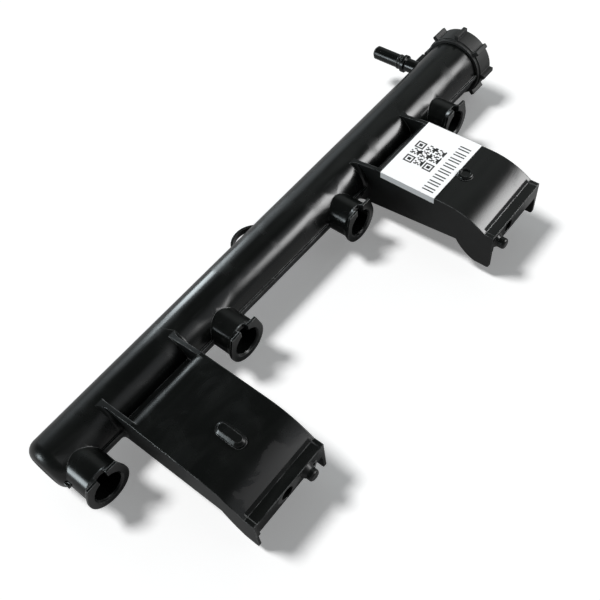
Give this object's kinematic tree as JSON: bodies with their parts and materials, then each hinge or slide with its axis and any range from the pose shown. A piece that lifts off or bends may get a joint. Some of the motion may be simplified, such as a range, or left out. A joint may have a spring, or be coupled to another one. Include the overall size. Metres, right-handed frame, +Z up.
{
  "type": "fuel rail",
  "caption": "Moulded engine fuel rail: a tapered tube with injector cups, two bolt-down brackets, a quick-connect inlet stem and a lugged end cap.",
  "frame": {"origin": "on the axis of the first injector cup, where its bore meets the lead-in at the mouth", "axes": "+X along the tube from its closed end to the cap, -Y out of the injector cups, +Z up through the bracket plates"},
  "size_m": [0.3287, 0.1413, 0.0412],
  "materials": {
    "rail_plastic": "black glass-filled nylon, satin gloss with flow marks and light scuffs",
    "cap_plastic": "black nylon, a little duller than the rail",
    "label_paper": "white paper sticker with plain black print"
  },
  "bodies": {
    "root": {"rail_body": "rail_plastic", "end_cap": "cap_plastic", "label": "label_paper"}
  },
  "joints": []
}
